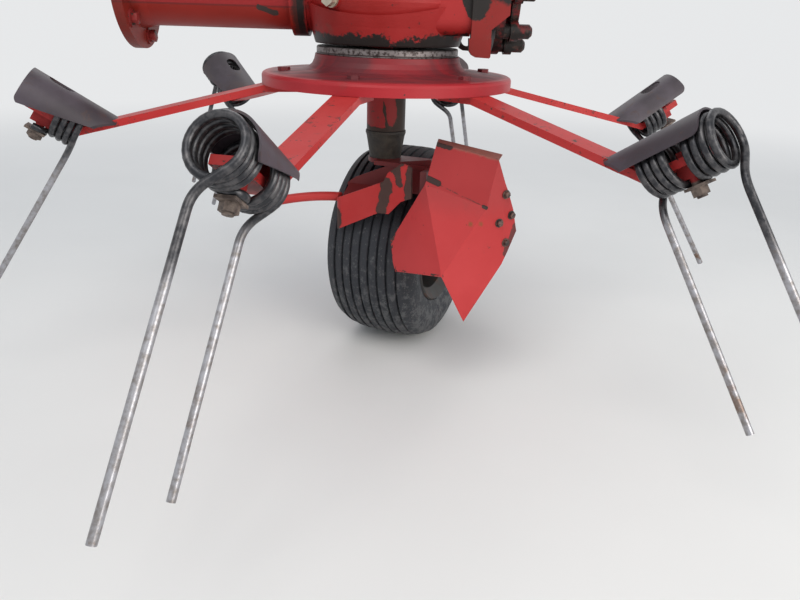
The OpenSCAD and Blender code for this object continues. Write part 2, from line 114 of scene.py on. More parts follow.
CROWN_STAINS = ((((0.050, -0.101, -0.180), (0.040, -0.101, -0.231)), 0.012),
                (((0.069, -0.101, -0.152), (0.074, -0.101, -0.176)), 0.008),
                (((-0.057, -0.097, -0.250), (-0.057, -0.097, -0.280)), 0.015),
                (((0.060, -0.101, -0.153), (0.078, -0.101, -0.141)), 0.005),
                (((0.098, -0.101, -0.150), (0.094, -0.101, -0.200)), 0.012))


def arm_matrix(number):
    """The frame of one arm's coil: X along the coil, Y the turning direction, -Z the legs."""
    steps, _, bent = ARMS[number]
    turn = Matrix.Rotation(math.radians(ARM_TURN + 60 * steps + bent), 4, "Z")
    seat = Matrix.Translation((COIL_AT[0], 0, COIL_AT[1]))
    tilt = Matrix.Rotation(math.radians(-COIL_TILT), 4, "Y")
    return Matrix.Translation(AXIS) @ turn @ seat @ tilt


def wheel_matrix():
    """The wheel carrier's frame: X across the wheel, Y back along the trail."""
    return Matrix.Translation(AXIS) @ Matrix.Rotation(math.radians(STEER), 4, "Z")


# Modelling helpers


def deselect():
    """Leaves edit mode and selects nothing."""
    if bpy.context.object and bpy.context.object.mode != "OBJECT":
        bpy.ops.object.mode_set(mode="OBJECT")
    bpy.ops.object.select_all(action="DESELECT")


def only(obj):
    """Selects this object alone and makes it active."""
    deselect()
    obj.select_set(True)
    bpy.context.view_layer.objects.active = obj


def settle(obj, matrix):
    """Puts a finished piece in its place, inside its mesh."""
    only(obj)
    obj.data.transform(matrix)
    obj.matrix_world = Matrix.Identity(4)


def smooth(obj, angle=35.0):
    only(obj)
    bpy.ops.object.shade_smooth_by_angle(angle=math.radians(angle))


def clean_mesh(obj):
    """Merges doubled points, drops loose ones and turns all faces outwards."""
    only(obj)
    bpy.ops.object.mode_set(mode="EDIT")
    bpy.ops.mesh.select_all(action="SELECT")
    bpy.ops.mesh.remove_doubles(threshold=0.00002)
    bpy.ops.mesh.delete_loose()
    bpy.ops.mesh.select_all(action="SELECT")
    bpy.ops.mesh.normals_make_consistent(inside=False)
    bpy.ops.object.mode_set(mode="OBJECT")


def lathe(name, section, steps=96, angle=35.0):
    """A closed section of (along X, radius) points spun about the X axis."""
    deselect()
    bpy.ops.mesh.primitive_circle_add(vertices=len(section), radius=0.1, fill_type="NOTHING")
    obj = bpy.context.object
    obj.name = name
    for vertex, (along, radius) in zip(obj.data.vertices, section):
        vertex.co = (along, 0, radius)
    bpy.ops.object.mode_set(mode="EDIT")
    bpy.ops.mesh.select_all(action="SELECT")
    bpy.ops.mesh.spin(steps=steps, angle=math.tau, center=(0, 0, 0), axis=(1, 0, 0))
    bpy.ops.object.mode_set(mode="OBJECT")
    clean_mesh(obj)
    smooth(obj, angle)
    return obj


def turned(name, section, axis):
    """A small solid turned from (along, radius) points that begin and end on its own axis, along X or Z."""
    obj = lathe(name, [(along, max(radius, 0.00001)) for along, radius in section], steps=24)
    if axis == "Z":
        only(obj)
        obj.data.transform(Matrix.Rotation(math.radians(-90), 4, "Y"))
    return obj


def join_pieces(name, *parts):
    deselect()
    for part in parts:
        part.select_set(True)
    bpy.context.view_layer.objects.active = parts[0]
    bpy.ops.object.join()
    parts[0].name = name
    return parts[0]


def hex_head(name, across, height, washer):
    """A bolt head with a chamfered top over a washer, whose underside is Z = 0."""
    deselect()
    bpy.ops.mesh.primitive_cylinder_add(vertices=6, radius=across / math.sqrt(3), depth=height,
                                        location=(0, 0, height / 2 + washer))
    head = bpy.context.object
    bpy.ops.object.transform_apply(location=True, rotation=True, scale=True)
    bpy.ops.object.mode_set(mode="EDIT")
    bpy.ops.mesh.select_all(action="SELECT")
    bpy.ops.mesh.bevel(offset=height * 0.1, segments=2, affect="EDGES")
    bpy.ops.object.mode_set(mode="OBJECT")
    bpy.ops.mesh.primitive_cylinder_add(vertices=32, radius=across * 0.78, depth=washer,
                                        location=(0, 0, washer / 2))
    head = join_pieces(name, head, bpy.context.object)
    smooth(head, 30)
    return head


def copy_of(obj, name, matrix):
    """A copy with its own mesh, set in its place."""
    twin = obj.copy()
    twin.data = obj.data.copy()
    twin.name = name
    bpy.context.collection.objects.link(twin)
    settle(twin, matrix)
    return twin


def aim(point, normal, spin=0.0):
    """A frame at point whose Z runs along normal."""
    facing = Vector(normal).normalized().to_track_quat("Z", "Y").to_matrix().to_4x4()
    return Matrix.Translation(point) @ facing @ Matrix.Rotation(spin, 4, "Z")


def finish_piece(obj, body, material, slot, *nodes):
    """Gives a new piece its material and the body it rides on, and hides the nodes that it stands for; the
    slot is not used.
    """
    obj.data.materials.clear()
    obj.data.materials.append(material)
    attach(obj, body)
    if nodes:
        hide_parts(*nodes)
    return obj


# Material helpers


class Finish:
    """A material under construction: a Principled shader and short names for the nodes it needs."""

    def __init__(self, name, rough=0.5, metallic=0.0, specular=0.5):
        self.mat = bpy.data.materials.new(name)
        self.mat.use_nodes = True
        self.nodes = self.mat.node_tree.nodes
        self.links = self.mat.node_tree.links
        self.shader = self.nodes["Principled BSDF"]
        self.shader.inputs["Roughness"].default_value = rough
        self.shader.inputs["Metallic"].default_value = metallic
        self.shader.inputs["Specular IOR Level"].default_value = specular
        self.coords = self.nodes.new("ShaderNodeTexCoord").outputs["Object"]

    def put(self, socket, value):
        """Links an output to the socket, or sets the socket's own value."""
        if hasattr(value, "is_output"):
            self.links.new(value, socket)
        elif isinstance(value, (tuple, list)) and len(value) == 3 and socket.type == "RGBA":
            socket.default_value = (*value, 1)
        else:
            socket.default_value = value

    def stretched(self, scale):
        node = self.nodes.new("ShaderNodeMapping")
        node.inputs["Scale"].default_value = scale
        self.links.new(self.coords, node.inputs["Vector"])
        return node.outputs["Vector"]

    def noise(self, scale, detail=4.0, rough=0.55, where=None, distortion=0.0):
        node = self.nodes.new("ShaderNodeTexNoise")
        node.inputs["Scale"].default_value = scale
        node.inputs["Detail"].default_value = detail
        node.inputs["Roughness"].default_value = rough
        node.inputs["Distortion"].default_value = distortion
        self.links.new(where or self.coords, node.inputs["Vector"])
        return node.outputs["Fac"]

    def ramp(self, value, low, high):
        """0 below low, 1 above high, eased between."""
        node = self.nodes.new("ShaderNodeMapRange")
        node.interpolation_type = "SMOOTHSTEP"
        node.inputs["From Min"].default_value = low
        node.inputs["From Max"].default_value = high
        self.links.new(value, node.inputs["Value"])
        return node.outputs["Result"]

    def span(self, value, low, high):
        """Spreads a value of 0 to 1 over low to high."""
        node = self.nodes.new("ShaderNodeMapRange")
        node.inputs["To Min"].default_value = low
        node.inputs["To Max"].default_value = high
        self.links.new(value, node.inputs["Value"])
        return node.outputs["Result"]

    def math(self, kind, a, b=0.0):
        node = self.nodes.new("ShaderNodeMath")
        node.operation = kind
        self.put(node.inputs[0], a)
        self.put(node.inputs[1], b)
        return node.outputs[0]

    def times(self, a, b):
        return self.math("MULTIPLY", a, b)

    def plus(self, a, b):
        return self.math("ADD", a, b)

    def less(self, a, b):
        return self.math("SUBTRACT", a, b)

    def inverse(self, a):
        return self.math("SUBTRACT", 1.0, a)

    def absolute(self, a):
        return self.math("ABSOLUTE", a)

    def either(self, first, *others):
        """The stronger of several masks."""
        for mask in others:
            first = self.math("MAXIMUM", first, mask)
        return first

    def mix(self, mask, a, b):
        node = self.nodes.new("ShaderNodeMix")
        node.data_type = "RGBA"
        self.put(node.inputs[0], mask)
        self.put(node.inputs[6], a)
        self.put(node.inputs[7], b)
        return node.outputs[2]

    def axis(self, letter):
        node = self.nodes.new("ShaderNodeSeparateXYZ")
        self.links.new(self.coords, node.inputs[0])
        return node.outputs[letter]

    def vector(self, kind, a, b=None, scale=None):
        node = self.nodes.new("ShaderNodeVectorMath")
        node.operation = kind
        self.put(node.inputs[0], a)
        if b is not None:
            self.put(node.inputs[1], b)
        if scale is not None:
            self.put(node.inputs["Scale"], scale)
        single = kind in ("DOT_PRODUCT", "LENGTH", "DISTANCE")
        return node.outputs["Value" if single else "Vector"]

    def distance(self, point):
        return self.vector("DISTANCE", self.coords, point)

    def coil_height(self):
        """Height above the coils' axes, square to them: the same for all six arms."""
        flat = self.vector("MULTIPLY", self.coords, (1, 1, 0))
        out = self.less(self.vector("DISTANCE", flat, (AXIS.x, AXIS.y, 0)), COIL_AT[0])
        up = self.less(self.axis("Z"), AXIS.z + COIL_AT[1])
        tilt = math.radians(COIL_TILT)
        return self.less(self.times(up, math.cos(tilt)), self.times(out, math.sin(tilt)))

    def from_line(self, start, end):
        """Distance from the straight line between two points, which ends round."""
        start, end = Vector(start), Vector(end)
        run = end - start
        off = self.vector("SUBTRACT", self.coords, tuple(start))
        along = self.vector("DOT_PRODUCT", off, tuple(run / run.length_squared))
        along = self.math("MINIMUM", self.math("MAXIMUM", along, 0.0), 1.0)
        foot = self.vector("SCALE", tuple(run), scale=along)
        return self.vector("LENGTH", self.vector("SUBTRACT", off, foot))

    def near_line(self, start, end, width, ragged=None, rag=0.0):
        """1 on the line, 0 beyond width, with an edge that a noise frays."""
        far = self.from_line(start, end)
        if ragged is not None:
            far = self.plus(far, self.times(self.less(ragged, 0.5), rag))
        return self.inverse(self.ramp(far, width * 0.86, width))

    def bump(self, height, strength=0.3, depth=0.001, under=None):
        node = self.nodes.new("ShaderNodeBump")
        node.inputs["Strength"].default_value = strength
        node.inputs["Distance"].default_value = depth
        self.links.new(height, node.inputs["Height"])
        if under:
            self.links.new(under, node.inputs["Normal"])
        return node.outputs["Normal"]

    def done(self, colour, rough=None, normal=None):
        self.put(self.shader.inputs["Base Color"], colour)
        if rough is not None:
            self.put(self.shader.inputs["Roughness"], rough)
        if normal is not None:
            self.links.new(normal, self.shader.inputs["Normal"])
        return self.mat


DARK_PRIMER = (0.055, 0.03, 0.024)
GREASE = (0.016, 0.013, 0.012)


def shade(colour, red, green, blue):
    """The colour with each channel weighted."""
    return (colour[0] * red, colour[1] * green, colour[2] * blue)


def on_carrier(*points):
    """Points of the wheel carrier's frame where they stand in the part."""
    return [tuple(wheel_matrix() @ Vector(point)) for point in points]


def farm_paint(name, colour, faded, chips=0.68, film=0.4):
    """The common layers of old red paint: clouds of fading, a film of dust, and chips, still unfinished."""
    f = Finish(name, rough=0.42, specular=0.26)
    tone = f.mix(f.ramp(f.noise(5.0, 5.0), 0.35, 0.7), colour, faded)
    dust = f.ramp(f.noise(26.0, 6.0, 0.6, distortion=0.3), 0.6, 0.76)
    tone = f.mix(f.times(dust, film), tone, (0.16, 0.05, 0.04))
    f.flakes = f.noise(95.0, 8.0, 0.62)
    return f, tone, f.ramp(f.flakes, chips, chips + 0.02)


def close_paint(f, tone, chip, bare=DARK_PRIMER, gloss=(0.34, 0.58), rubbed=None):
    """Lays the chips on and finishes: chips are sunk and dull, the paint has a slight orange peel."""
    colour = f.mix(chip, tone, bare)
    peel = f.bump(f.noise(420.0, 2.0), 0.06, 0.0005)
    normal = f.bump(chip, 0.4, -0.0006, peel)
    rough = f.span(f.noise(18.0, 3.0), *gloss)
    if rubbed is not None:
        rough = f.plus(rough, f.times(rubbed, 0.2))
    return f.done(colour, rough, normal)


def finish_sheet(red, faded):
    """The folded sheet: a slot, a cracked fold, a rubbed brown lip, smudges, and chips along its edges, with
    painted shade in the slot and notch and a painted shadow of the disc on its upper part.
    """
    f, tone, chip = farm_paint("folded sheet paint with painted shade", shade(red, 1, 1.15, 1.3), shade(faded, 1, 1.1, 1.2),
                               film=0.2)
    frayed = f.noise(120.0, 5.0, 0.65)
    worn = [f.near_line(*on_carrier(*edge), 0.0035, frayed, 0.007) for edge in SHEET_EDGES]
    torn = f.ramp(f.plus(f.flakes, f.times(f.either(*worn), 0.17)), 0.70, 0.72)
    crack = f.near_line(*on_carrier(*SHEET_CRACK), 0.0011, frayed, 0.003)
    dashes = f.ramp(f.noise(190.0, 3.0, 0.6), 0.44, 0.52)
    tone = f.mix(f.times(f.times(crack, dashes), 0.8), tone, DARK_PRIMER)
    for point, radius in SHEET_SMUDGES:
        spot = f.plus(f.distance(on_carrier(point)[0]), f.times(frayed, 0.008))
        smudge = f.inverse(f.ramp(spot, radius * 0.8, radius * 1.7))
        tone = f.mix(f.times(smudge, 0.75), tone, (0.17, 0.08, 0.02))
    # painted shadow of the disc: the sheet's upper part is darkened towards a dim red
    upper = f.ramp(f.plus(f.axis("Z"), f.times(frayed, 0.03)), AXIS.z - 0.214, AXIS.z - 0.168)
    tone = f.mix(f.times(upper, 0.30), tone, (0.25, 0.050, 0.050))
    lip = f.near_line(*on_carrier(*SHEET_LIP), 0.0155, frayed, 0.004)
    tone = f.mix(f.times(lip, 0.8), tone, (0.26, 0.13, 0.10))
    corner = f.near_line(*on_carrier((0.139, -0.094, -0.101), (0.163, -0.095, -0.105)), 0.0055, frayed, 0.006)
    foot = f.near_line(*on_carrier((0.2795, -0.052, -0.24), (0.271, -0.067, -0.282)), 0.011, frayed, 0.012)
    # painted shade: the slot and the notch are coloured near-black as the shade in them, and sunk by a bump
    slot = f.near_line(*on_carrier(*SHEET_SLOT), 0.0056)
    notch = f.near_line(*on_carrier(*SHEET_NOTCH), 0.0034)
    hollow_shade = f.either(slot, notch)
    dark = f.either(corner, f.times(foot, 0.8), hollow_shade)
    tone = f.mix(dark, tone, (0.05, 0.03, 0.027))
    sunk = f.bump(hollow_shade, 1.0, -0.003)
    colour = f.mix(f.either(chip, torn), tone, DARK_PRIMER)
    rough = f.span(f.noise(18.0, 3.0), 0.36, 0.58)
    return f.done(colour, rough, f.bump(f.either(chip, torn), 0.4, -0.0006, sunk))


def finish_crown(red, faded):
    """The crown over the tyre: rusty scabs on its front plate and its rounded end, painted shade inside the
    trough and down by the leg.
    """
    f, tone, chip = farm_paint("crown paint", red, faded, chips=0.67)
    frayed = f.noise(55.0, 7.0, 0.7)
    scabs = [f.near_line(*on_carrier(*line), width, frayed, 0.022) for line, width in CROWN_STAINS]
    scab = f.either(*scabs)
    tone = f.mix(scab, tone, f.mix(frayed, (0.045, 0.022, 0.019), (0.085, 0.047, 0.040)))
    # painted shade: the inside of the trough, and a strip down by the leg, are darkened
    back = tuple(wheel_matrix().to_3x3() @ Vector((0, 1, 0)))
    deep = f.vector("DOT_PRODUCT", f.vector("SUBTRACT", f.coords, tuple(AXIS)), back)
    trough = f.ramp(f.plus(deep, f.times(frayed, 0.012)), -0.090, -0.076)
    leg = f.near_line(*on_carrier((0.118, -0.098, -0.150), (0.118, -0.098, -0.245)), 0.022, frayed, 0.02)
    crown_shade = f.either(f.times(trough, 0.70), f.times(leg, 0.85))
    tone = f.mix(crown_shade, tone, (0.05, 0.020, 0.021))
    colour = f.mix(chip, tone, DARK_PRIMER)
    rough = f.plus(f.span(frayed, 0.32, 0.5), f.times(scab, 0.3))
    return f.done(colour, rough, f.bump(scab, 0.7, 0.0012, f.bump(chip, 0.35, -0.0006)))


def finish_arm(red, faded):
    """An arm: straw-rubbed paint with many small chips and dark scrapes along its length."""
    f, tone, chip = farm_paint("arm paint", red, faded, chips=0.63, film=0.35)
    scrape = f.ramp(f.noise(46.0, 8.0, 0.72, distortion=0.4), 0.595, 0.63)
    worn = f.mix(f.times(scrape, 0.8), tone, (0.075, 0.03, 0.026))
    return close_paint(f, worn, chip)


def finish_tube(red):
    """The frame tube: evenly dull, a flaked patch, a lighter upper side painted as a reflection of the sky
    over a painted shade line, grease round its bolts and joint.
    """
    dull = shade(red, 0.56, 0.6, 0.3)
    lighter = shade(red, 0.68, 0.9, 0.6)
    f, tone, chip = farm_paint("tube paint", dull, lighter, chips=0.69)
    frayed = f.noise(75.0, 6.0, 0.7)
    # painted reflection of the sky: the upper side is lighter and pinker; painted shade: a thin dark line
    # runs along under it
    upper = f.ramp(f.plus(f.axis("Z"), f.times(frayed, 0.002)), -0.033, -0.031)
    tone = f.mix(f.times(upper, 0.75), tone, shade(red, 0.8, 1, 1.2))
    edge_shade_line = f.inverse(f.ramp(f.absolute(f.plus(f.axis("Z"), 0.032)), 0.0008, 0.0022))
    tone = f.mix(f.times(edge_shade_line, 0.55), tone, (0.06, 0.015, 0.012))
    flaked = f.near_line((0.233, -0.060, -0.034), (0.258, -0.055, -0.042), 0.0055, frayed, 0.012)
    flange = f.inverse(f.ramp(f.plus(f.axis("X"), f.times(frayed, 0.03)), 0.026, 0.05))
    joint = f.ramp(f.plus(f.axis("X"), f.times(frayed, 0.02)), 0.294, 0.303)
    tone = f.mix(f.times(flange, 0.45), tone, (0.07, 0.022, 0.016))
    tone = f.mix(f.times(joint, 0.85), tone, (0.03, 0.018, 0.015))
    return close_paint(f, tone, f.either(chip, flaked), (0.045, 0.032, 0.028), gloss=(0.36, 0.55))


def finish_housing(red):
    """The gear housing: a sooty, oily lower edge, black round the joint and under the neck, flaked spots."""
    deep = shade(red, 0.66, 0.62, 0.5)
    lighter = shade(red, 0.85, 1, 1)
    f, tone, chip = farm_paint("oily casting", deep, lighter, chips=0.66, film=0.55)
    blotch = f.noise(24.0, 7.0, 0.68)
    sponge = f.plus(f.times(f.noise(20.0, 3.0, 0.6), 0.55), f.times(f.noise(150.0, 5.0, 0.7), 0.45))
    low = f.plus(f.axis("Z"), f.times(f.less(sponge, 0.5), 0.085))
    soot = f.inverse(f.ramp(low, -0.0735, -0.0675))
    joint = f.inverse(f.ramp(f.plus(f.axis("X"), f.times(blotch, 0.024)), 0.318, 0.324))
    weep = f.near_line((0.582, -0.117, 0.0), (0.597, -0.117, -0.030), 0.017, blotch, 0.03)
    oily = f.either(soot, joint, weep)
    casting = f.bump(f.noise(260.0, 3.0), 0.3, 0.0007)
    colour = f.mix(oily, f.mix(chip, tone, (0.03, 0.018, 0.016)), GREASE)
    rough = f.less(f.span(f.noise(30.0), 0.42, 0.6), f.times(oily, 0.12))
    return f.done(colour, rough, f.bump(f.either(chip, oily), 0.3, 0.0006, casting))


def finish_disc(red, faded):
    """The rotor disc: a bright rim, and a top smeared dark by oil and dust and darkened further as painted
    shade.
    """
    f, tone, chip = farm_paint("disc paint", red, faded, chips=0.7, film=0.35)
    reach = f.distance((AXIS.x, AXIS.y, AXIS.z))
    smear = f.noise(9.0, 5.0, 0.6, where=f.stretched((1, 2.6, 1)), distortion=0.6)
    inner = f.inverse(f.ramp(reach, 0.205, 0.219))
    upper = f.ramp(f.axis("Z"), AXIS.z - 0.006, AXIS.z - 0.001)
    # real smears of oil and dust, spread wide enough to darken the top as painted shade too
    smears_and_shade = f.times(f.times(inner, upper), f.span(f.ramp(smear, 0.36, 0.62), 0.45, 0.92))
    tone = f.mix(smears_and_shade, tone, (0.10, 0.024, 0.029))
    return close_paint(f, tone, chip, gloss=(0.3, 0.5), rubbed=f.times(smears_and_shade, 0.5))


def finish_ears(red):
    """The hinge end: black grease round the coupling, red lugs darkened as painted shade."""
    # painted shade: the lugs' red is darkened well below the other paint
    f, tone, chip = farm_paint("hinge paint in painted shade", shade(red, 0.40, 0.5, 0.35), shade(red, 0.6, 0.8, 0.7),
                               chips=0.65)
    blotch = f.noise(28.0, 7.0, 0.68)
    weep = f.near_line((0.587, -0.124, 0.03), (0.592, -0.124, -0.022), 0.022, blotch, 0.045)
    upper = f.near_line((0.606, -0.124, 0.045), (0.660, -0.124, 0.020), 0.045, blotch, 0.03)
    side = f.plus(f.absolute(f.axis("Y")), f.times(blotch, 0.012))
    middle = f.inverse(f.ramp(side, 0.124, 0.128))
    return close_paint(f, f.mix(f.either(weep, upper, f.times(middle, 0.9)), tone, GREASE), chip)


def finish_strut(red):
    """The strut: red tube darkened as a painted shadow of the disc, split paint, and one big greasy stain on
    its right that also rings its foot.
    """
    # painted shadow of the disc: the strut's red is darkened throughout
    disc_shadow_red = shade(red, 0.62, 0.8, 0.8)
    f, tone, chip = farm_paint("stained strut in painted shadow", disc_shadow_red, shade(red, 0.75, 1, 1), chips=0.64)
    streak = f.noise(15.0, 6.0, 0.65, where=f.stretched((1, 1, 0.3)))
    frayed = f.times(f.less(streak, 0.5), 0.05)
    side = f.ramp(f.plus(f.axis("X"), frayed), AXIS.x + 0.0125, AXIS.x + 0.0145)
    foot = f.inverse(f.ramp(f.plus(f.axis("Z"), f.times(frayed, 0.8)), -0.2305, -0.228))
    ragged = f.noise(60.0, 5.0, 0.6)
    split = f.near_line((0.444, -0.036, -0.176), (0.452, -0.0355, -0.232), 0.0022, ragged, 0.014)
    stain = f.either(side, foot, split)
    paint = f.mix(chip, tone, DARK_PRIMER)
    colour = f.mix(stain, paint, f.mix(streak, (0.05, 0.026, 0.016), (0.018, 0.012, 0.010)))
    return f.done(colour, f.span(streak, 0.32, 0.62), f.bump(stain, 0.4, 0.001))


def finish_boot():
    """The strut's collar: lumpy black grease with dust on it."""
    f = Finish("grease boot", rough=0.55, specular=0.4)
    lump = f.noise(30.0, 6.0, 0.65)
    colour = f.mix(f.ramp(lump, 0.35, 0.7), (0.014, 0.012, 0.010), (0.055, 0.045, 0.034))
    return f.done(colour, f.span(lump, 0.35, 0.8), f.bump(lump, 0.8, 0.004))


def finish_ring():
    """The seal ring: a bare turned band, oily speckles, and a groove near its foot painted dark as shade."""
    f = Finish("bare ring steel", rough=0.4, metallic=0.6)
    grain = f.noise(60.0, 5.0, 0.6, where=f.stretched((1, 1, 5)))
    speck = f.ramp(f.noise(170.0, 6.0, 0.7), 0.47, 0.58)
    # painted shade: the groove is coloured near-black, besides its bump
    groove = f.inverse(f.ramp(f.absolute(f.plus(f.axis("Z"), 0.1035)), 0.0006, 0.0016))
    band = f.mix(speck, f.mix(grain, (0.13, 0.105, 0.10), (0.28, 0.26, 0.26)), (0.035, 0.024, 0.022))
    colour = f.mix(f.times(groove, 0.8), band, (0.02, 0.016, 0.015))
    turned_grain = f.bump(grain, 0.15, 0.0005)
    return f.done(colour, f.span(grain, 0.3, 0.55), f.bump(groove, 0.5, -0.001, turned_grain))


def finish_spring():
    """Spring wire: blue-black scale on the coils, worn bright on the legs, rust towards some tips."""
    f = Finish("spring steel", rough=0.38, metallic=0.7)
    scale = f.noise(90.0, 5.0, 0.6)
    long = f.noise(22.0, 6.0, 0.65)
    level = f.plus(f.axis("Z"), f.times(f.less(long, 0.5), 0.09))
    low = f.inverse(f.ramp(level, -0.315, -0.265))
    coil = f.mix(f.ramp(scale, 0.4, 0.65), (0.034, 0.035, 0.040), (0.095, 0.092, 0.096))
    leg = f.mix(f.ramp(scale, 0.35, 0.7), (0.40, 0.40, 0.43), (0.22, 0.20, 0.19))
    rust = f.times(f.ramp(long, 0.56, 0.64), f.inverse(f.ramp(level, -0.56, -0.38)))
    worn = f.mix(rust, leg, (0.15, 0.075, 0.035))
    return f.done(f.mix(low, coil, worn), f.span(scale, 0.22, 0.46), f.bump(scale, 0.25, 0.0006))


def finish_clamp(red):
    """A clamp: dull grey-brown bolt and plate under a saddle that still has its red."""
    f = Finish("weathered clamp", rough=0.7, metallic=0.3)
    flake = f.noise(70.0, 7.0, 0.7)
    saddle = f.ramp(f.plus(f.coil_height(), f.times(flake, 0.006)), -0.034, -0.031)
    metal = f.mix(f.ramp(flake, 0.35, 0.65), (0.062, 0.046, 0.040), (0.20, 0.155, 0.13))
    colour = f.mix(saddle, metal, shade(red, 0.75, 1, 1))
    return f.done(colour, f.span(flake, 0.5, 0.85), f.bump(flake, 0.6, 0.0012))


def finish_cover(dark, dust):
    """A coil cover: dark paint gone chalky, rubbed brown, scuffed by straw."""
    f = Finish("chalky cover", rough=0.5)
    chalk = f.noise(11.0, 6.0, 0.6)
    scuffs = f.ramp(f.noise(48.0, 7.0, 0.7, distortion=0.5), 0.57, 0.65)
    tone = f.mix(f.ramp(chalk, 0.35, 0.7), dark, dust)
    rubbed = f.ramp(f.noise(8.0, 4.0, 0.6), 0.5, 0.66)
    tone = f.mix(f.times(rubbed, 0.6), tone, (0.085, 0.052, 0.046))
    colour = f.mix(f.times(scuffs, 0.8), tone, (0.055, 0.03, 0.028))
    return f.done(colour, f.span(chalk, 0.38, 0.62), f.bump(f.noise(150.0, 4.0), 0.25, 0.0006))


def finish_plug():
    """The oil plug: zinc with a yellowed bloom."""
    f = Finish("zinc plug", rough=0.35, metallic=0.8)
    bloom = f.noise(90.0, 4.0)
    colour = f.mix(bloom, (0.62, 0.57, 0.45), (0.42, 0.38, 0.32))
    return f.done(colour, f.span(bloom, 0.25, 0.55), f.bump(bloom, 0.1, 0.0004))


def finish_shaft():
    """Machined steel under patches of an old oil film."""
    f = Finish("machined steel", rough=0.42, metallic=0.7)
    film = f.noise(34.0, 6.0, 0.65)
    colour = f.mix(f.ramp(film, 0.42, 0.66), (0.26, 0.24, 0.23), (0.04, 0.032, 0.028))
    return f.done(colour, f.span(film, 0.3, 0.6), f.bump(film, 0.2, 0.001))


def finish_coupling(red):
    """The finger coupling: red paint that shows through a coat of black grease."""
    worn, rubbed = shade(red, 0.3, 0.5, 0.9), shade(red, 0.45, 1, 1)
    f, tone, chip = farm_paint("greasy coupling", worn, rubbed, chips=0.58)
    blotch = f.noise(34.0, 7.0, 0.68)
    return close_paint(f, f.mix(f.ramp(blotch, 0.46, 0.6), GREASE, tone), chip, gloss=(0.3, 0.55))


def finish_bolt():
    """Dark bolts with brown nicks: the folded sheet's, the wheel's, and the valve."""
    f = Finish("dark bolt", rough=0.5, metallic=0.5)
    nick = f.noise(130.0, 6.0, 0.65)
    colour = f.mix(f.ramp(nick, 0.4, 0.62), (0.05, 0.038, 0.036), (0.17, 0.10, 0.08))
    return f.done(colour, f.span(nick, 0.35, 0.7), f.bump(nick, 0.4, 0.0006))


def finish_painted_bolt(red):
    """The frame flange's bolts, painted over and chipped."""
    f, tone, chip = farm_paint("painted bolt", shade(red, 0.4, 0.9, 0.7), shade(red, 0.55, 1, 1), chips=0.56)
    return close_paint(f, tone, chip)


def finish_tyre(rubber):
    """The tyre: dark rubber, dusty specks and dried mud low on the tread."""
    f = Finish("tyre rubber", rough=0.68, specular=0.4)
    tint = f.noise(16.0, 5.0)
    base = f.mix(tint, rubber, (0.026, 0.029, 0.036))
    level = f.times(f.axis("Z"), -0.62)
    mud = f.ramp(f.plus(f.noise(60.0, 8.0, 0.75), level), 0.83, 0.95)
    specks = f.ramp(f.noise(230.0, 4.0, 0.6), 0.62, 0.67)
    dusty = f.mix(f.times(specks, 0.35), base, (0.22, 0.21, 0.20))
    colour = f.mix(f.times(mud, 0.4), dusty, (0.17, 0.17, 0.17))
    return f.done(colour, f.span(tint, 0.55, 0.8), f.bump(f.noise(240.0, 4.0), 0.35, 0.0008))


def finish_rim():
    """The rim: dark paint made near-black as painted shade, with brown rust."""
    f = Finish("rim paint in painted shade", rough=0.45)
    age = f.noise(20.0, 7.0, 0.7)
    # painted shade: the rim's paint is near-black
    colour = f.mix(f.ramp(age, 0.5, 0.62), (0.034, 0.032, 0.031), (0.065, 0.034, 0.024))
    return f.done(colour, f.span(age, 0.35, 0.75), f.bump(age, 0.2, 0.0008))


def build_finishes(colours):
    """Every finish by the name that the operators ask for."""
    red, faded = tuple(colours.red[:3]), tuple(colours.faded_red[:3])
    f, tone, chip = farm_paint("red paint", red, faded)
    return {
        "paint": close_paint(f, tone, chip),
        "arm": finish_arm(red, faded),
        "disc": finish_disc(shade(red, 0.8, 0.8, 1.1), shade(red, 0.92, 1, 1.3)),
        "tube": finish_tube(red),
        "housing": finish_housing(red),
        "ears": finish_ears(red),
        "strut": finish_strut(red),
        "sheet": finish_sheet(shade(red, 1.1, 1.3, 1.2), shade(faded, 1.1, 1, 1)),
        "crown": finish_crown(red, faded),
        "boot": finish_boot(),
        "ring": finish_ring(),
        "spring": finish_spring(),
        "clamp": finish_clamp(red),
        "cover": finish_cover(tuple(colours.cover[:3]), tuple(colours.cover_dust[:3])),
        "plug": finish_plug(),
        "shaft": finish_shaft(),
        "coupling": finish_coupling(red),
        "bolt": finish_bolt(),
        "painted_bolt": finish_painted_bolt(red),
        "tyre": finish_tyre(tuple(colours.rubber[:3])),
        "rim": finish_rim(),
    }


# The finishes, filled by the paint operator
MATS = {}


# Properties


class TedderSizes(bpy.types.PropertyGroup):
    wire: bpy.props.FloatProperty(
        name="Wire", description="Diameter of the tine wire", default=0.011, unit="LENGTH")
    coil_radius: bpy.props.FloatProperty(
        name="Coil radius", description="Mean radius of the tine coils", default=0.035, unit="LENGTH")
    coil_steps: bpy.props.IntProperty(
        name="Coil steps", description="Points in one turn of a coil", default=28, min=12, max=60)
    tyre_ribs: bpy.props.IntProperty(
        name="Ribs", description="Ribs round the tyre", default=9, min=3, max=13)
    groove_depth: bpy.props.FloatProperty(
        name="Groove depth", description="Depth of the grooves between the tyre's ribs", default=0.006,
        unit="LENGTH")
    groove_width: bpy.props.FloatProperty(
        name="Groove width", description="Width of the grooves between the tyre's ribs", default=0.0042,
        unit="LENGTH")
    flange_bolt: bpy.props.FloatProperty(
        name="Flange bolts", description="Size across the flats of the frame flange's bolts", default=0.019,
        unit="LENGTH")
    sheet_bolt: bpy.props.FloatProperty(
        name="Sheet bolts", description="Size across the flats of the folded sheet's bolts", default=0.010,
        unit="LENGTH")
    floor_height: bpy.props.FloatProperty(
        name="Floor", description="Height of the floor against the frame tube's axis", default=-0.6885,
        unit="LENGTH")


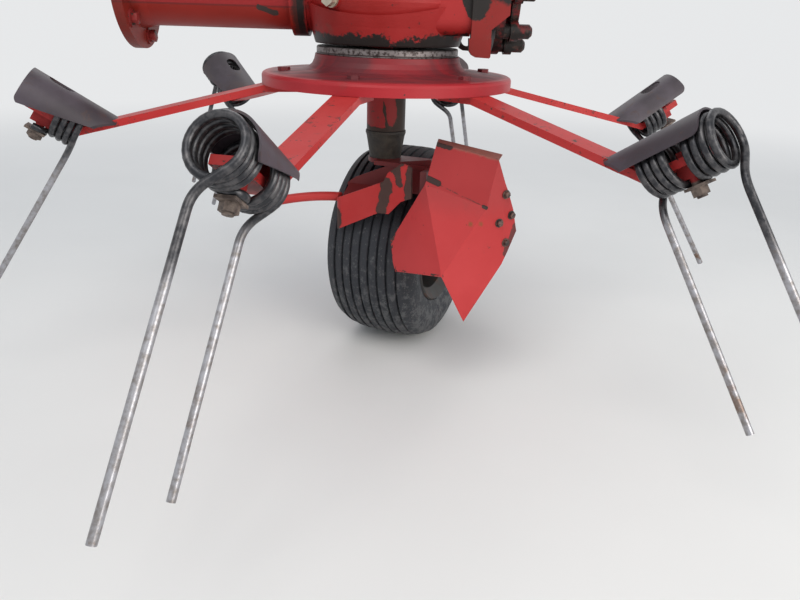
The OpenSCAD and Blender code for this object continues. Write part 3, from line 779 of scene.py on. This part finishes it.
class TedderColours(bpy.types.PropertyGroup):
    red: bpy.props.FloatVectorProperty(
        name="Red", description="Fresh red paint", default=(0.42, 0.022, 0.022, 1), subtype="COLOR",
        size=4, min=0, max=1)
    faded_red: bpy.props.FloatVectorProperty(
        name="Faded red", description="Paint bleached by the sun", default=(0.47, 0.042, 0.040, 1),
        subtype="COLOR", size=4, min=0, max=1)
    cover: bpy.props.FloatVectorProperty(
        name="Covers", description="Chalky paint of the coil covers", default=(0.033, 0.024, 0.031, 1),
        subtype="COLOR", size=4, min=0, max=1)
    cover_dust: bpy.props.FloatVectorProperty(
        name="Cover dust", description="Chalky bloom on the coil covers", default=(0.068, 0.053, 0.068, 1),
        subtype="COLOR", size=4, min=0, max=1)
    rubber: bpy.props.FloatVectorProperty(
        name="Rubber", description="Tyre rubber", default=(0.024, 0.026, 0.031, 1), subtype="COLOR",
        size=4, min=0, max=1)


# Operators


class TEDDER_OT_paint(bpy.types.Operator):
    """Give every solid of the unit its worn finish"""

    bl_idname = "tedder.paint"
    bl_label = "Paint the solids"

    def execute(self, context):
        MATS.update(build_finishes(context.scene.tedder_colours))
        plan = {
            "frame_tube": "tube", "gear_housing": "housing", "housing_cap": "housing", "oil_plug": "plug",
            "hinge_ears": "ears", "strut": "strut", "drive_shaft": "shaft", "finger_coupling": "coupling",
            "rotor_disc": "disc", "seal_ring": "ring", "swivel_stem": "boot", "wheel_crown": "crown",
            "axle_leg": "crown", "stub_axle": "shaft", "deflector_bracket": "paint", "deflector": "sheet",
            "guard_rod": "paint", "tyre": "tyre", "rim": "rim",
        }
        for number in ARMS:
            plan[f"arm_{number}"] = "arm"
            plan[f"tine_{number}"] = "spring"
            plan[f"clamp_{number}"] = "clamp"
            plan[f"cover_{number}"] = "cover"
        for node, finish in plan.items():
            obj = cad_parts[node]
            for slot in obj.material_slots:
                slot.material = MATS[finish]
            if not obj.material_slots:
                raise RuntimeError(f"{node} has no material slot")
        return {"FINISHED"}


def ring_point(radius, x, angle):
    """A point of a coil: x along the coil, at an angle that grows downwards from the turning side."""
    return Vector((x, radius * math.cos(angle), -radius * math.sin(angle)))


def coil_points(sizes, side):
    """From the tip of one leg up round its bend and through the turns of its coil to the middle."""
    reach, root = COIL_REACH[side], LOOP_HALF[side]
    leave, splay, turns = math.radians(LEAVE_ANGLE), math.radians(SPLAY), math.radians(COIL_ANGLE)
    start = ring_point(sizes.coil_radius, side * reach, leave)
    away = Vector((0, -math.sin(leave), -math.cos(leave)))
    aside = Vector((0.001, 0, 0)) if side > 0 else Vector((0, 0.003, 0))
    lean = 0.0075 if side > 0 else 0
    kink = start + away * LEAD + aside
    up = (start - kink).normalized()
    down = Vector((lean, -math.sin(splay), -math.cos(splay))).normalized()
    points = [kink + down * LEG[side]]
    for k in range(9):
        t = k / 8
        lower = (kink + down * BEND) * (1 - t) ** 2
        upper = (kink + up * BEND) * t**2
        points.append(lower + kink * 2 * t * (1 - t) + upper)
    steps = round(turns / math.tau * sizes.coil_steps)
    for k in range(steps + 1):
        x = side * (reach + (root - reach) * k / steps)
        points.append(ring_point(sizes.coil_radius, x, leave - turns * k / steps))
    return points


def half_loop(radius, side):
    """One half of the middle loop that the clamp's bolt holds."""
    half = LOOP_HALF[side]
    points = [Vector((side * half, LOOP_START * 0.5, -radius))]
    for k in range(6):
        a = math.radians(90 * k / 6)
        points.append(Vector((side * half * math.cos(a), LOOP_START + LOOP_RISE * math.sin(a), -radius)))
    return points


def tine_points(sizes, outer):
    """Centre line of one tine in its coil's frame, from one leg's tip to the other's or to its broken end."""
    radius = sizes.coil_radius
    inner = half_loop(radius, -1)[::-1] + coil_points(sizes, -1)[::-1]
    crest = Vector((0, LOOP_START + LOOP_RISE, -radius))
    if not outer:
        return [crest + Vector((0.008, 0.0005, 0)), crest] + inner
    return coil_points(sizes, 1) + half_loop(radius, 1) + [crest] + inner


class TEDDER_OT_tines(bpy.types.Operator):
    """Wind the spring tines from round wire"""

    bl_idname = "tedder.tines"
    bl_label = "Spring tines"

    def execute(self, context):
        sizes = context.scene.tedder_sizes
        for number, (_, outer, _) in ARMS.items():
            deselect()
            bpy.ops.curve.primitive_bezier_curve_add()
            wire = bpy.context.object
            wire.name = f"spring_{number}"
            wire.data.splines.clear()
            points = tine_points(sizes, outer)
            line = wire.data.splines.new("POLY")
            line.points.add(len(points) - 1)
            for spot, point in zip(line.points, points):
                spot.co = (*point, 1)
            wire.data.dimensions = "3D"
            wire.data.twist_mode = "MINIMUM"
            wire.data.bevel_depth = sizes.wire / 2
            wire.data.bevel_resolution = 4
            wire.data.use_fill_caps = True
            only(wire)
            bpy.ops.object.convert(target="MESH")
            wire = bpy.context.object
            clean_mesh(wire)
            smooth(wire, 50)
            settle(wire, arm_matrix(number))
            finish_piece(wire, "rotor", MATS["spring"], "spring_steel", f"tine_{number}")
        return {"FINISHED"}


class TEDDER_OT_tyre(bpy.types.Operator):
    """Turn the tyre with its straight ribs"""

    bl_idname = "tedder.tyre"
    bl_label = "Ribbed tyre"

    def execute(self, context):
        sizes = context.scene.tedder_sizes
        half = TYRE_HALF

        def crown(x):
            return TYRE_TOP - CROWN_FALL * min(1.0, abs(x) / CROWN_HALF) ** CROWN_POWER

        wall = [(-0.066, 0.1045), (-0.084, 0.118), (-half + 0.003, 0.138), (-half, 0.154),
                (-half + 0.0015, 0.168), (-half + 0.005, 0.178)]
        pitch = 2 * TREAD_HALF / sizes.tyre_ribs
        groove = sizes.groove_width / 2
        edge = crown(TREAD_HALF + 0.0005) - 0.0015
        tread = [(-TREAD_HALF - 0.0005, edge)]
        for k in range(1, sizes.tyre_ribs):
            x = -TREAD_HALF + k * pitch
            r = crown(x)
            floor = r - sizes.groove_depth
            tread += [(x - groove - RIB_ROUND, r), (x - groove, r - RIB_SHOULDER),
                      (x - groove * 0.75, floor), (x + groove * 0.75, floor),
                      (x + groove, r - RIB_SHOULDER), (x + groove + RIB_ROUND, r)]
            middle = x + pitch / 2
            tread.append((middle, crown(middle) + 0.0002))
        tread[-1] = (TREAD_HALF + 0.0005, edge)
        other_wall = [(-x, r) for x, r in reversed(wall)]
        inside = [(0.062, 0.1035), (0.060, 0.112), (0.083, 0.140), (0.085, 0.160), (0.076, 0.182)]
        inside += [(-x, r) for x, r in reversed(inside)]
        tyre = lathe("tyre_ribbed", wall + tread + other_wall + inside, steps=110, angle=30)
        settle(tyre, wheel_matrix() @ Matrix.Translation((0, TRAIL, -AXLE_DROP)))
        finish_piece(tyre, "wheel", MATS["tyre"], "tyre_rubber", "tyre")
        return {"FINISHED"}


class TEDDER_OT_fasteners(bpy.types.Operator):
    """Set the bolts of the frame flange and of the folded sheet"""

    bl_idname = "tedder.fasteners"
    bl_label = "Bolts"

    def execute(self, context):
        sizes = context.scene.tedder_sizes
        model = hex_head("flange_bolt_model", sizes.flange_bolt, 0.010, washer=0.003)
        outline = ((-0.0155, 0.0), (-0.0155, 0.0068), (-0.014, 0.0081), (0.0005, 0.0081), (0.0005, 0.0))
        shank = turned("flange_shank", outline, "Z")
        model = join_pieces("flange_bolt_model", model, shank)
        for k in range(6):
            turn = math.radians(10 + 60 * k)
            place = Vector((FLANGE_FACE, -math.sin(turn) * FLANGE_CIRCLE, math.cos(turn) * FLANGE_CIRCLE))
            bolt = copy_of(model, f"flange_bolt_{k + 1}", aim(place, (1, 0, 0), 0.4 * k))
            finish_piece(bolt, "frame", MATS["painted_bolt"], "greasy_steel")
        bpy.data.objects.remove(model)

        model = hex_head("sheet_bolt_model", sizes.sheet_bolt, 0.005, washer=0.0013)
        outline = ((-0.012, 0.0), (-0.012, 0.0034), (-0.011, 0.004), (0.0005, 0.004), (0.0005, 0.0))
        shank = turned("sheet_shank", outline, "Z")
        model = join_pieces("sheet_bolt_model", model, shank)
        wing = Vector((math.cos(math.radians(30)), -0.5, 0))
        side = Vector((0.745, -0.666, 0.03))
        for k, (point, on_wing) in enumerate(SHEET_BOLTS):
            place = wheel_matrix() @ aim(Vector(point), wing if on_wing else side, 0.3 + 0.5 * k)
            bolt = copy_of(model, f"sheet_bolt_{k + 1}", place)
            finish_piece(bolt, "carrier", MATS["bolt"], "rusty_steel")
        bpy.data.objects.remove(model)
        return {"FINISHED"}


class TEDDER_OT_wheel_trim(bpy.types.Operator):
    """Set the wheel's nuts and its valve"""

    bl_idname = "tedder.wheel_trim"
    bl_label = "Wheel nuts and valve"

    def execute(self, context):
        hub = wheel_matrix() @ Matrix.Translation((0, TRAIL, -AXLE_DROP))
        model = hex_head("wheel_nut_model", 0.017, 0.010, washer=0.002)
        outline = ((0.004, 0.0), (0.004, 0.005), (0.0155, 0.005), (0.017, 0.0038), (0.017, 0.0))
        stud = turned("wheel_stud", outline, "Z")
        model = join_pieces("wheel_nut_model", model, stud)
        for k in range(4):
            turn = math.radians(90 * k)
            place = Vector((WHEEL_FACE, NUT_CIRCLE * math.cos(turn), NUT_CIRCLE * math.sin(turn)))
            nut = copy_of(model, f"wheel_nut_{k + 1}", hub @ aim(place, (1, 0, 0), 0.2 * k))
            finish_piece(nut, "wheel", MATS["bolt"], "rusty_steel")
        bpy.data.objects.remove(model)
        outline = ((0.0, 0.0), (0.0, 0.0075), (0.004, 0.0078), (0.010, 0.0052), (0.018, 0.0042),
                   (0.0185, 0.0034), (0.027, 0.0034), (0.0275, 0.0042), (0.035, 0.0042), (0.036, 0.0034),
                   (0.036, 0.0))
        valve = turned("tyre_valve", outline, "X")
        seat = hub @ aim(Vector((0.0135, 0.0595, 0.0595)), (1, 0, 0))
        settle(valve, seat @ Matrix.Rotation(math.radians(-90), 4, "Y"))
        finish_piece(valve, "wheel", MATS["bolt"], "tyre_rubber")
        return {"FINISHED"}


def plain_rays(tree):
    """1 for the rays that show a plain backdrop: the camera's, and those in gloss and glass."""
    rays = tree.nodes.new("ShaderNodeLightPath").outputs
    seen = rays["Is Camera Ray"]
    for kind in ("Is Glossy Ray", "Is Transmission Ray"):
        either = tree.nodes.new("ShaderNodeMath")
        either.operation = "MAXIMUM"
        tree.links.new(seen, either.inputs[0])
        tree.links.new(rays[kind], either.inputs[1])
        seen = either.outputs[0]
    return seen


def blend_shaders(tree, mask, below, above, out):
    """Joins two shaders by a mask and links them to the output."""
    blend = tree.nodes.new("ShaderNodeMixShader")
    tree.links.new(mask, blend.inputs[0])
    tree.links.new(below.outputs[0], blend.inputs[1])
    tree.links.new(above.outputs[0], blend.inputs[2])
    tree.links.new(blend.outputs[0], out.inputs["Surface"])


def lay_floor(height):
    deselect()
    middle = (AXIS.x, 0, height)
    bpy.ops.mesh.primitive_plane_add(size=60, location=middle)
    floor = bpy.context.object
    floor.name = "studio_floor"
    bpy.ops.object.transform_apply(location=True, rotation=True, scale=True)
    pale = Finish("pale floor", rough=0.9, specular=0.1)
    clouds = pale.ramp(pale.noise(2.0, 3.0), 0.3, 0.7)
    pale.done(pale.mix(clouds, (0.78, 0.775, 0.76), (0.80, 0.795, 0.78)))
    # far from the part the floor takes the backdrop's own tone, so that no edge shows
    glow = pale.nodes.new("ShaderNodeEmission")
    glow.inputs["Color"].default_value = (*BACKDROP, 1)
    far = pale.ramp(pale.distance(middle), 1.4, 4.5)
    mask = pale.times(far, plain_rays(pale.mat.node_tree))
    blend_shaders(pale.mat.node_tree, mask, pale.shader, glow, pale.nodes["Material Output"])
    floor.data.materials.append(pale.mat)


def hang_backdrop(scene):
    """A world whose soft light is cooler and dimmer than the plain backdrop that the camera sees."""
    scene.world = scene.world or bpy.data.worlds.new("studio")
    scene.world.use_nodes = True
    tree = scene.world.node_tree
    tree.nodes.clear()
    out = tree.nodes.new("ShaderNodeOutputWorld")
    seen = tree.nodes.new("ShaderNodeBackground")
    seen.inputs["Color"].default_value = (*BACKDROP, 1)
    light = tree.nodes.new("ShaderNodeBackground")
    light.inputs["Color"].default_value = (0.86, 0.92, 1.0, 1)
    light.inputs["Strength"].default_value = 0.55
    blend_shaders(tree, plain_rays(tree), light, seen, out)


def hang_lamps():
    for name, (place, size, power, tint) in LAMPS.items():
        deselect()
        bpy.ops.object.light_add(type="AREA", location=place)
        lamp = bpy.context.object
        lamp.name = name
        lamp.data.size = size
        lamp.data.energy = power
        lamp.data.color = tint
        towards = Vector((AXIS.x, 0, -0.3)) - Vector(place)
        lamp.rotation_euler = towards.to_track_quat("-Z", "Y").to_euler()


def set_camera(scene):
    deselect()
    bpy.ops.object.camera_add()
    camera = bpy.context.object
    camera.name = "photo_camera"
    yaw, pitch, roll = math.radians(CAMERA_YAW), math.radians(CAMERA_PITCH), math.radians(CAMERA_ROLL)
    ahead = math.cos(pitch)
    forward = Vector((math.sin(yaw) * ahead, math.cos(yaw) * ahead, -math.sin(pitch)))
    level = Vector((math.cos(yaw), -math.sin(yaw), 0))
    upright = level.cross(forward)
    right = level * math.cos(roll) + upright * math.sin(roll)
    up = upright * math.cos(roll) - level * math.sin(roll)
    turn = Matrix((right, up, -forward)).transposed().to_4x4()
    camera.matrix_world = Matrix.Translation(AXIS + CAMERA_AT) @ turn
    camera.data.sensor_width = SENSOR
    camera.data.lens = FOCAL_PIXELS / PHOTO_WIDTH * SENSOR
    camera.data.clip_start = 0.02
    scene.camera = camera


class TEDDER_OT_stage(bpy.types.Operator):
    """Set the studio: pale floor, soft lamps and the camera"""

    bl_idname = "tedder.stage"
    bl_label = "Studio and camera"

    def execute(self, context):
        lay_floor(context.scene.tedder_sizes.floor_height)
        hang_backdrop(context.scene)
        hang_lamps()
        set_camera(context.scene)
        context.scene.view_settings.view_transform = "Standard"
        return {"FINISHED"}


class TEDDER_PT_panel(bpy.types.Panel):
    """The steps of the dressing, in order"""

    bl_idname = "TEDDER_PT_panel"
    bl_label = "Tedder rotor"
    bl_space_type = "VIEW_3D"
    bl_region_type = "UI"
    bl_category = "Tedder"

    def draw(self, context):
        for name in TedderSizes.__annotations__:
            self.layout.prop(context.scene.tedder_sizes, name)
        for name in TedderColours.__annotations__:
            self.layout.prop(context.scene.tedder_colours, name)
        for kind in STEPS:
            self.layout.operator(kind.bl_idname)


STEPS = (TEDDER_OT_paint, TEDDER_OT_tines, TEDDER_OT_tyre, TEDDER_OT_fasteners, TEDDER_OT_wheel_trim,
         TEDDER_OT_stage)
CLASSES = (TedderSizes, TedderColours) + STEPS + (TEDDER_PT_panel,)


def register():
    for kind in CLASSES:
        bpy.utils.register_class(kind)
    bpy.types.Scene.tedder_sizes = bpy.props.PointerProperty(type=TedderSizes)
    bpy.types.Scene.tedder_colours = bpy.props.PointerProperty(type=TedderColours)


def unregister():
    del bpy.types.Scene.tedder_colours
    del bpy.types.Scene.tedder_sizes
    for kind in reversed(CLASSES):
        bpy.utils.unregister_class(kind)


def main():
    register()
    bpy.ops.tedder.paint()
    bpy.ops.tedder.tines()
    bpy.ops.tedder.tyre()
    bpy.ops.tedder.fasteners()
    bpy.ops.tedder.wheel_trim()
    bpy.ops.tedder.stage()


if __name__ == "__main__":
    main()
